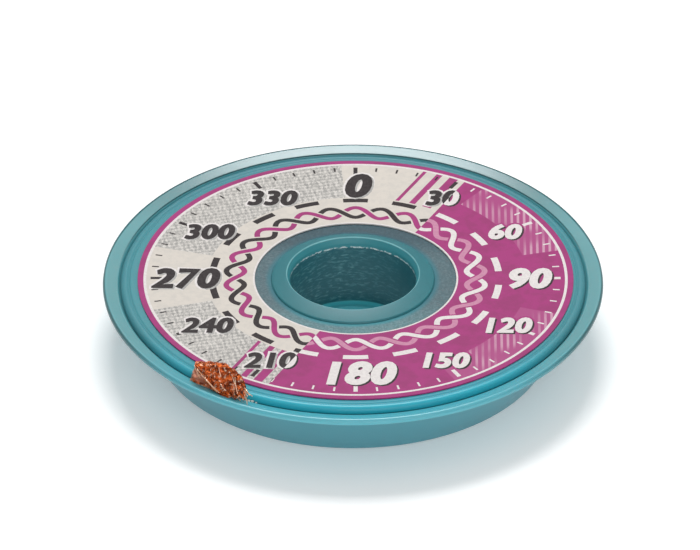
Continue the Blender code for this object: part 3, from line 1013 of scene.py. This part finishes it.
def make_stray_wires(material):
    """A few fine wires that have sprung loose: some lie slanting across the fold, others stick out at the
    cut end and curl down to the rim."""
    chance = random.Random(SEED + 1)
    points, faces = [], []
    for along, up, length, degrees in STRANDS:
        run, fall = length * math.cos(math.radians(degrees)), length * math.sin(math.radians(degrees))
        lie = [flag_point(along + run * t, up - fall * t, 0.84 + 0.1 * math.sin(math.pi * t))
               for t in (0.0, 0.3, 0.7, 1.0)]
        tube(np.array(through(lie, 6)), LOOSE_WIRE_RADIUS, points, faces)
    for i in range(SPRUNG_WIRES):
        up = 0.3 + 0.17 * i
        reach, fall = chance.uniform(0.55, 1.15), chance.uniform(0.1, 0.9)
        spring = [flag_point(3.3 - 0.08 * i + t * reach, up + 0.3 * t - fall * t * t, 0.4 + 0.25 * t)
                  for t in (0.0, 0.35, 0.7, 1.0)]
        tube(np.array(through(spring, 6)), LOOSE_WIRE_RADIUS, points, faces)
    return add_mesh("stray_wires", points, faces, [material], smooth=True)


# Crumbs of flux on the rim: azimuth in degrees, millimetres past the lid, and radius in millimetres
CRUMBS = [(242.9, 0.3, 0.14), (243.9, 0.16, 0.1), (244.8, 0.1, 0.12), (246.0, 0.22, 0.06)]


def make_flux(material):
    """Small clear crumbs of flux caught at the cut end, on the rim beside it."""
    points, faces = [], []
    for azimuth, past_lid, size in CRUMBS:
        radius = LID_RADIUS + past_lid * MM
        centre = around(azimuth, radius, rim_top(radius))
        centre.z += 0.7 * size * MM + rim_lift(centre.x, centre.y)
        crumb = bmesh.new()
        bmesh.ops.create_icosphere(crumb, subdivisions=3, radius=size * MM)
        for vertex in crumb.verts:
            vertex.co *= 1 + 0.35 * noise.noise(vertex.co / (0.1 * MM) + Vector((azimuth, 0, 0)))
            vertex.co.x *= 1.5
        first = len(points)
        points += [tuple(vertex.co + centre) for vertex in crumb.verts]
        faces += [tuple(first + vertex.index for vertex in face.verts) for face in crumb.faces]
        crumb.free()
    return add_mesh("flux_crumbs", points, faces, [material], smooth=True)


def flux_material():
    material, where, shader = new_material("clear_flux")
    tint = mix(cloud(where, 0.1 * MM), (0.98, 0.93, 0.84), (1.0, 0.98, 0.95))
    set_inputs(shader, {"Base Color": tint, "Roughness": 0.08, "Transmission Weight": 0.45, "IOR": 1.52})
    return material


def make_core(material):
    """The braid's inside, seen between its wires: a dark copper sheet as painted shade."""
    strip = Strip(braid_edges())
    rows, columns = 60, 5
    distance = np.linspace(0, strip.length - 0.15 * MM, rows)
    points, faces = [], []
    for across in np.linspace(-0.9, 0.9, columns):
        points += list(strip.point(distance, np.full(rows, across), np.zeros(rows)))
    for i in range(columns - 1):
        for j in range(i * rows, i * rows + rows - 1):
            faces.append((j, j + 1, j + 1 + rows, j + rows))
    core = add_mesh("braid_core", points, faces, [material], smooth=True)
    solid = core.modifiers.new("thickness", "SOLIDIFY")
    solid.thickness = BRAID_THICKNESS - 6 * WIRE_RADIUS
    solid.offset = 0.0
    solid.use_even_offset = False
    return applied(core)


def make_coil(material):
    """The wound braid, its layers rounded at both ends."""
    inner = COIL_RADIUS - LAYERS * LAYER_PITCH
    low, high = FLOOR_Z + SEAT_GAP, LID_UNDER - SEAT_GAP
    top, bottom = [], []
    for layer in range(LAYERS):
        start = inner + layer * LAYER_PITCH
        for step in range(6):
            share = step / 6
            top.append(Vector((start + share * LAYER_PITCH, high - turn_dip(share))))
            bottom.append(Vector((start + share * LAYER_PITCH, low + turn_dip(share))))
    side = [Vector((COIL_RADIUS - turn_dip(share), z)) for z, share in coil_side(low, high)]
    return turned("wound_braid", top + side + bottom[::-1], material, 160)


def turn_dip(share):
    """How far the coil's surface falls back at a share of the way across one turn of the braid."""
    return TURN_GROOVE * (1 - math.sin(math.pi * share) ** 0.6)


def coil_side(low, high):
    """(height, share of the way across its column) down the coil's outer side, two columns."""
    column = (high - low) / 2
    rows = []
    for i in range(2):
        rows += [(high - column * (i + step / 6), step / 6) for step in range(1, 6)]
    return rows


# Pieces of plastic

def rim_top(radius):
    """The height of an even rim's upper face at a radius."""
    return SEAM_Z + RIM_DISH * (radius - LID_RADIUS) / (RIM_RADIUS - LID_RADIUS)


def make_case(material):
    lip_z = LID_TOP + SHOWN_GAP
    shoulder = LID_UNDER - SEAT_GAP
    slope = (WALL_TOP_RADIUS - BASE_RADIUS) / SEAM_Z
    wall_in = BASE_RADIUS - WALL_THICKNESS
    under = rim_top(WALL_TOP_RADIUS + 0.3 * MM) - RIM_THICKNESS
    rim_in = LID_RADIUS - LID_LIP
    ramp = [LID_RADIUS + share * RIM_LIFT_WIDTH for share in (0.05, 0.2, 0.35, 0.5, 0.65, 0.8, 0.95, 1.1)]
    corners = [
        (BORE_RADIUS, COLLAR_TOP - 0.6 * MM, 0.25 * MM),
        (MOUTH_RADIUS, COLLAR_TOP, 0.09 * MM),
        (COLLAR_RADIUS - 0.1 * MM, LID_TOP + 0.2 * MM, 0.16 * MM),
        (COLLAR_RADIUS, lip_z, 0.01 * MM),
        (NECK_RADIUS, lip_z, 0),
        (NECK_RADIUS, shoulder, 0),
        (HUB_RADIUS, shoulder, 0.1 * MM),
        (HUB_RADIUS, FLOOR_Z, 0.45 * MM),
        (wall_in + slope * FLOOR_Z, FLOOR_Z, 0.45 * MM),
        (wall_in + slope * (SEAM_Z - 0.9 * MM), SEAM_Z - 0.9 * MM, 0.3 * MM),
        (rim_in, rim_top(rim_in), 0.12 * MM),
        *[(radius, rim_top(radius), 0) for radius in ramp],
        (RIM_RADIUS, rim_top(RIM_RADIUS), 0.3 * MM),
        (RIM_RADIUS, rim_top(RIM_RADIUS) - RIM_THICKNESS, 0.33 * MM),
        (WALL_TOP_RADIUS + 0.1 * MM, under, 0.35 * MM),
        (BASE_RADIUS, 0.0, 0.55 * MM),
        (BORE_RADIUS - BORE_LIP_WIDTH, 0.0, 0.12 * MM),
        (BORE_RADIUS - BORE_LIP_WIDTH, BORE_LIP_THICKNESS, 0.12 * MM),
        (BORE_RADIUS, BORE_LIP_THICKNESS, 0.12 * MM),
    ]
    case = turned("bobbin_case_shell", filleted(corners), material)
    for vertex in case.data.vertices:
        vertex.co.z += rim_lift(vertex.co.x, vertex.co.y)
    return case


def rim_lift(x, y):
    """How far the rim outside the lid is raised: most on the far side, since the two are not parallel."""
    out = (math.hypot(x, y) - LID_RADIUS) / RIM_LIFT_WIDTH
    share = min(max(out, 0.0), 1.0)
    far = RIM_LIFT_AT_SIDES + (1 - RIM_LIFT_AT_SIDES) * y / RIM_RADIUS
    return RIM_LIFT * far * share * share * (3 - 2 * share)


def make_lid(material):
    hole = NECK_RADIUS + SEAT_GAP
    foot = rim_top(LID_RADIUS) + SHOWN_GAP
    lip = LID_RADIUS - LID_LIP - SEAT_GAP
    corners = [
        (hole, LID_TOP, 0.1 * MM),
        (GROOVE_RADIUS - 0.17 * MM, LID_TOP, 0.08 * MM),
        (GROOVE_RADIUS, LID_TOP - 0.11 * MM, 0.1 * MM),
        (GROOVE_RADIUS + 0.22 * MM, LID_TOP + 0.01 * MM, 0.14 * MM),
        (LID_RADIUS, LID_TOP + 0.03 * MM, 0.45 * MM),
        (LID_RADIUS, foot, 0.05 * MM),
        (lip, rim_top(lip) + SEAT_GAP, 0.05 * MM),
        (lip - 0.25 * MM, LID_UNDER, 0.05 * MM),
        (hole, LID_UNDER, 0.1 * MM),
    ]
    lid = turned("lid_shell", filleted(corners), material)
    lid.modifiers.clear()
    cut_notch(lid)
    finish_surface(lid)
    return lid


def cut_notch(lid):
    """Cuts the notch that the braid comes up through out of the lid's edge."""
    middle = LID_RADIUS - NOTCH_DEPTH + RIM_RADIUS / 2
    out, side = around(NOTCH_AZIMUTH), around(NOTCH_AZIMUTH + 90)
    points = []
    for z in (LID_UNDER - 1 * MM, LID_TOP + 1 * MM):
        for s, t in ((-1, -1), (1, -1), (1, 1), (-1, 1)):
            corner = out * (middle + s * RIM_RADIUS / 2) + side * (t * NOTCH_WIDTH / 2)
            points.append(corner + Vector((0, 0, z)))
    faces = [(3, 2, 1, 0), (4, 5, 6, 7)] + [(i, (i + 1) % 4, (i + 1) % 4 + 4, i + 4) for i in range(4)]
    cutter = add_mesh("notch_cutter", points, faces, [])
    cut = lid.modifiers.new("notch", "BOOLEAN")
    cut.object = cutter
    cut.operation = "DIFFERENCE"
    applied(lid)
    bpy.data.objects.remove(cutter)


# Stage

FLOOR_TONES = ((0.9, 0.9, 0.9), (0.86, 0.86, 0.86))
FLOOR_GLOW = 0.2
FLOOR_HALF_WIDTH = 3.0
FLOOR_DROP = 0.02 * MM
SKY_TONES = ((0.34, 0.35, 0.36), (1.0, 1.0, 1.0))
SKY_STRENGTH = 0.62


def make_camera():
    camera = bpy.data.cameras.new("camera")
    camera.sensor_width = SENSOR_WIDTH
    camera.lens = SENSOR_WIDTH * CAMERA_DISTANCE / MM * PIXELS_PER_MM / IMAGE_WIDTH
    camera.clip_end = 50.0
    made = add_object("camera", camera)
    forward = Vector((0, math.cos(CAMERA_ELEVATION), -math.sin(CAMERA_ELEVATION)))
    up = Vector((0, math.sin(CAMERA_ELEVATION), math.cos(CAMERA_ELEVATION)))
    right = (LABEL_CENTRE_PIXEL[0] - IMAGE_CENTRE_PIXEL[0]) / PIXELS_PER_MM * MM
    down = (LABEL_CENTRE_PIXEL[1] - IMAGE_CENTRE_PIXEL[1]) / PIXELS_PER_MM * MM
    target = Vector((-right, 0, LABEL_TOP)) + up * down
    made.location = target - forward * CAMERA_DISTANCE
    made.rotation_euler = (math.pi / 2 - CAMERA_ELEVATION, 0, 0)
    bpy.context.scene.camera = made


def make_light(name, azimuth, elevation, distance, width, height, energy):
    """A soft light that faces the part from an azimuth and elevation in degrees."""
    light = bpy.data.lights.new(name, "AREA")
    light.shape = "RECTANGLE"
    light.energy = energy
    light.size = width
    light.size_y = height
    made = add_object(name, light)
    a, e = math.radians(azimuth), math.radians(elevation)
    made.location = distance * Vector((math.cos(a) * math.cos(e), math.sin(a) * math.cos(e), math.sin(e)))
    made.rotation_euler = (-made.location).to_track_quat("-Z", "Y").to_euler()


def make_floor():
    """A plain pale floor, a hair under the part's base."""
    material, where, shader = new_material("floor")
    tone = mix(cloud(where, 30 * MM, 2.0), *FLOOR_TONES)
    set_inputs(shader, {"Base Color": tone, "Roughness": 0.8, "Emission Color": (1.0, 1.0, 1.0, 1.0),
                        "Emission Strength": FLOOR_GLOW})
    half, low = FLOOR_HALF_WIDTH, -FLOOR_DROP
    corners = [(-half, -half, low), (half, -half, low), (half, half, low), (-half, half, low)]
    floor = add_mesh("floor", corners, [(0, 1, 2, 3)], [material])


def make_sky():
    """A studio's soft light, grey at the horizon and white overhead."""
    world = bpy.data.worlds.new("studio")
    world.use_nodes = True
    nodes = world.node_tree.nodes
    _, _, rise = parts(nodes.new("ShaderNodeTexCoord").outputs["Generated"])
    shade = mix(between(rise, 0.0, 0.9), *SKY_TONES)
    set_inputs(nodes["Background"], {"Color": shade, "Strength": SKY_STRENGTH})
    bpy.context.scene.world = world


def make_lights():
    make_light("back_light", azimuth=91, elevation=62, distance=0.42, width=0.17, height=0.12, energy=1.05)
    make_light("front_fill", azimuth=-80, elevation=22, distance=0.6, width=0.45, height=0.45, energy=1.1)
    bpy.context.scene.view_settings.view_transform = "Standard"


def dress(piece, slot, *nodes):
    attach(piece, "root")
    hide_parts(*nodes)


def main():
    make_camera()
    make_floor()
    make_sky()
    make_lights()
    copper = copper_material("copper_wire", COPPER, glint=0.75, roughness=0.3)
    core = copper_material("copper_shadow", COPPER_SHADOW, glint=0.0, roughness=0.5)
    pale = copper_material("pale_wire", PALE_WIRE, glint=0.6, roughness=0.18)
    dress(make_case(case_plastic()), "teal_plastic", "bobbin_case")
    dress(make_lid(lid_plastic()), "teal_plastic", "lid")
    dress(make_label(label_inks()), "label_paper", "label")
    dress(make_woven_end(copper), "copper_braid", "braid")
    dress(make_core(core), "copper_braid", "braid")
    dress(make_coil(coil_material()), "copper_braid", "braid")
    dress(make_stray_wires(pale), "copper_braid", "braid")
    dress(make_flux(flux_material()), "copper_braid", "braid")


main()
